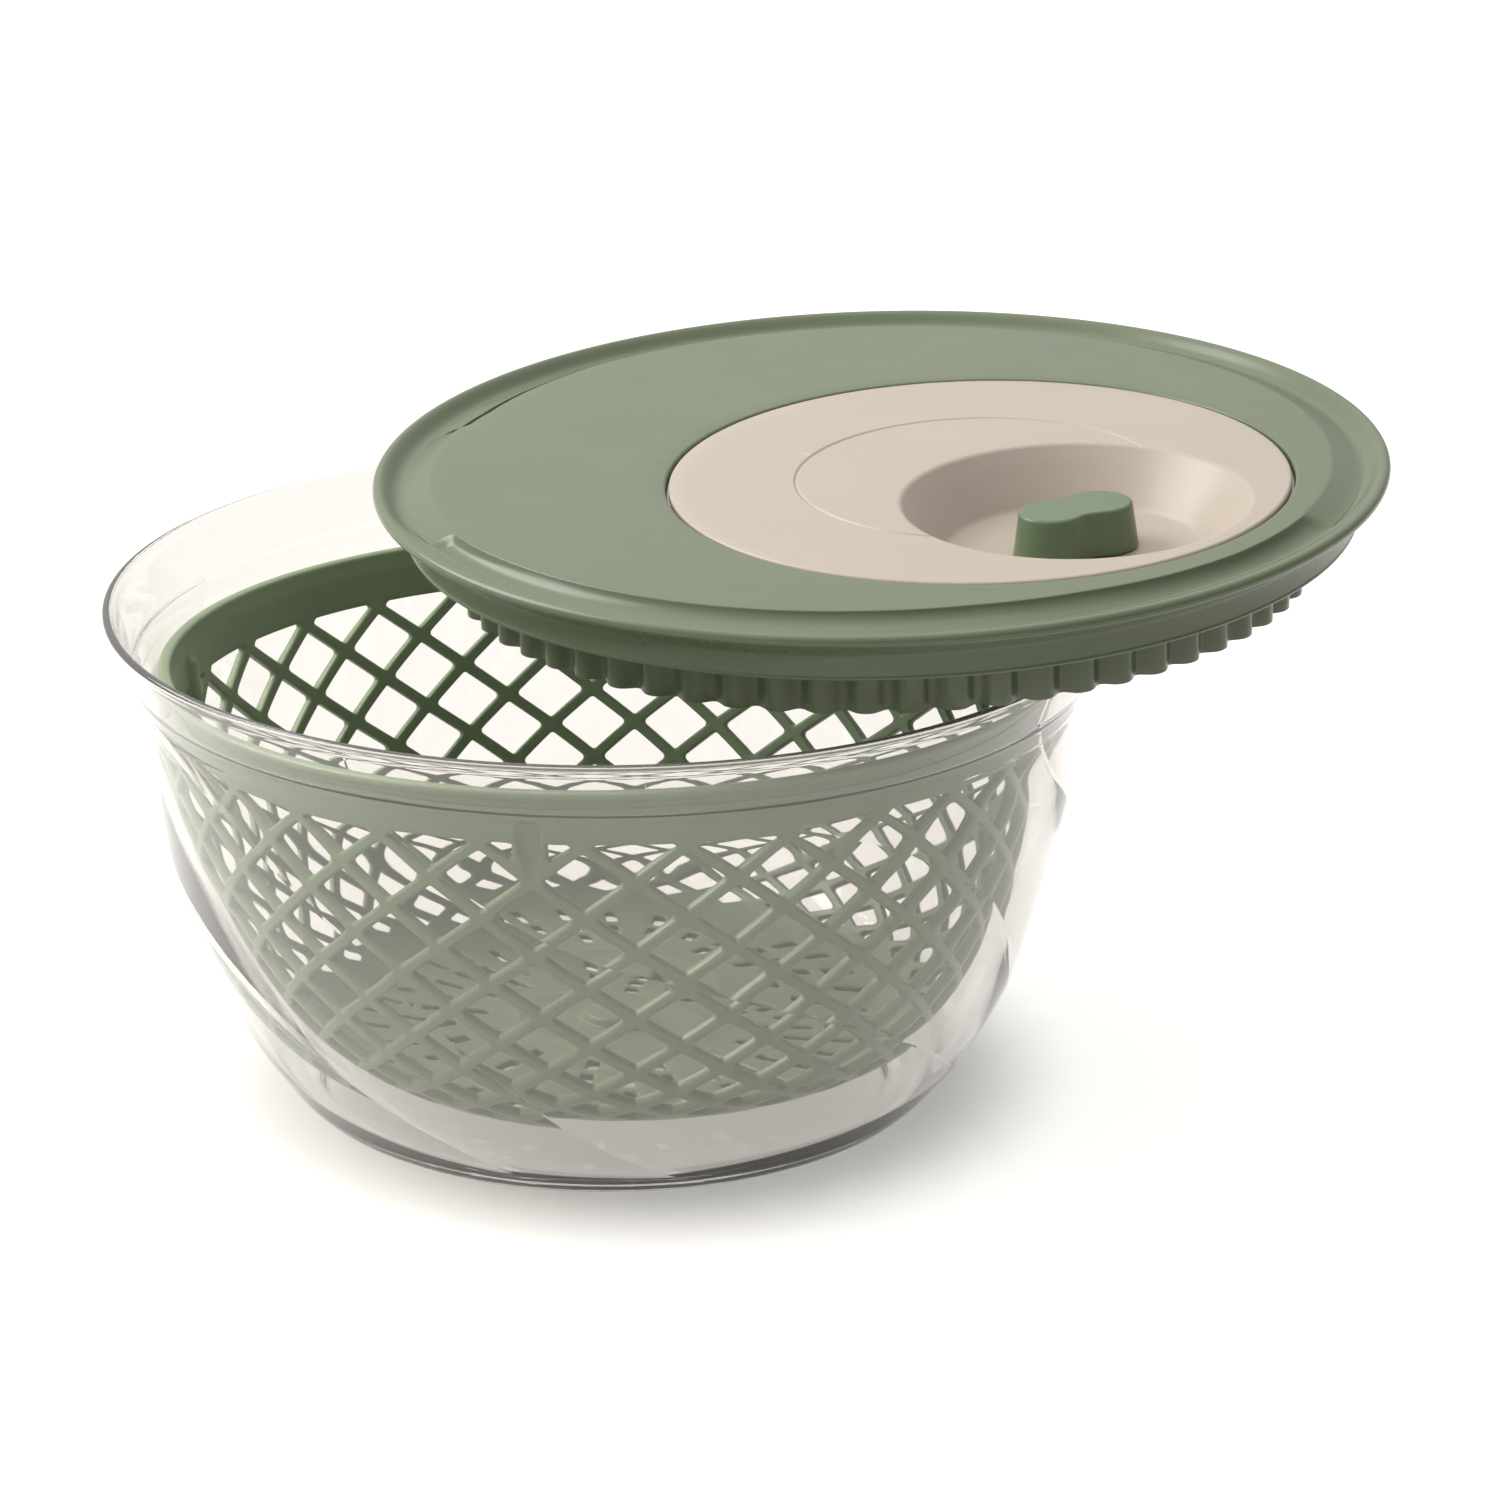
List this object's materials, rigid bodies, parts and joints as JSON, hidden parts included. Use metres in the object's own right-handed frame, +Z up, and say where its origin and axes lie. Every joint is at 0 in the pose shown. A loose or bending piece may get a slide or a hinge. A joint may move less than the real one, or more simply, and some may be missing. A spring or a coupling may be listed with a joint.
{
  "type": "salad spinner",
  "caption": "Clear bowl with a lattice basket turning inside it and a crank-driven lid set askew on its rim.",
  "frame": {"origin": "centre of the bowl's base, on the surface it stands on", "axes": "+Z up; +X towards the side the lid is shifted to; the basket's front drive post points near -Y"},
  "size_m": [0.3547, 0.2975, 0.1823],
  "materials": {
    "clear_plastic": "clear gloss moulded plastic with a warm grey tint",
    "sage_plastic": "satin-gloss moulded plastic",
    "basket_plastic": "satin moulded plastic",
    "beige_plastic": "satin moulded plastic",
    "white_acetal": "matte low-friction plastic",
    "screw_steel": "zinc-plated steel"
  },
  "bodies": {
    "bowl_body": {"bowl": "clear_plastic", "pivot_pin": "screw_steel"},
    "basket_body": {"basket": "basket_plastic", "basket_bush": "white_acetal"},
    "lid_body": {"lid_shell": "sage_plastic", "lid_base": "sage_plastic", "lid_screws": "screw_steel", "rotor_bush": "white_acetal", "glide_ring": "white_acetal"},
    "crank_body": {"crank_disc": "beige_plastic", "ring_gear": "white_acetal", "gear_screws": "screw_steel", "disc_retainer": "white_acetal"},
    "knob_body": {"knob": "sage_plastic", "knob_washer": "screw_steel", "knob_screw": "screw_steel"},
    "rotor_body": {"rotor": "sage_plastic", "pinion": "white_acetal", "thrust_washer": "white_acetal", "rotor_screw": "screw_steel"}
  },
  "joints": [
    {"name": "basket_spin", "type": "hinge", "parent": "bowl_body", "child": "basket_body", "pos_m": [0, 0, 0.013], "axis": [-0.0087, 0.0366, 0.9993], "continuous": true},
    {"name": "lid_lift", "type": "slide", "parent": "bowl_body", "child": "lid_body", "axis": [0, 0, 1], "range_m": [0, 0.15]},
    {"name": "crank_spin", "type": "hinge", "parent": "lid_body", "child": "crank_body", "pos_m": [0.10112, 0.00064, 0.17536], "axis": [-0.0319, -0.0305, 0.999], "continuous": true},
    {"name": "knob_spin", "type": "hinge", "parent": "crank_body", "child": "knob_body", "pos_m": [0.12618, -0.02082, 0.1755], "axis": [-0.0319, -0.0305, 0.999], "continuous": true},
    {"name": "rotor_spin", "type": "hinge", "parent": "lid_body", "child": "rotor_body", "pos_m": [0.0742, 0.017, 0.175], "axis": [-0.0319, -0.0305, 0.999], "continuous": true}
  ],
  "couplings": [
    {"joint": "rotor_spin", "follows": "crank_spin", "ratio": 3}
  ]
}
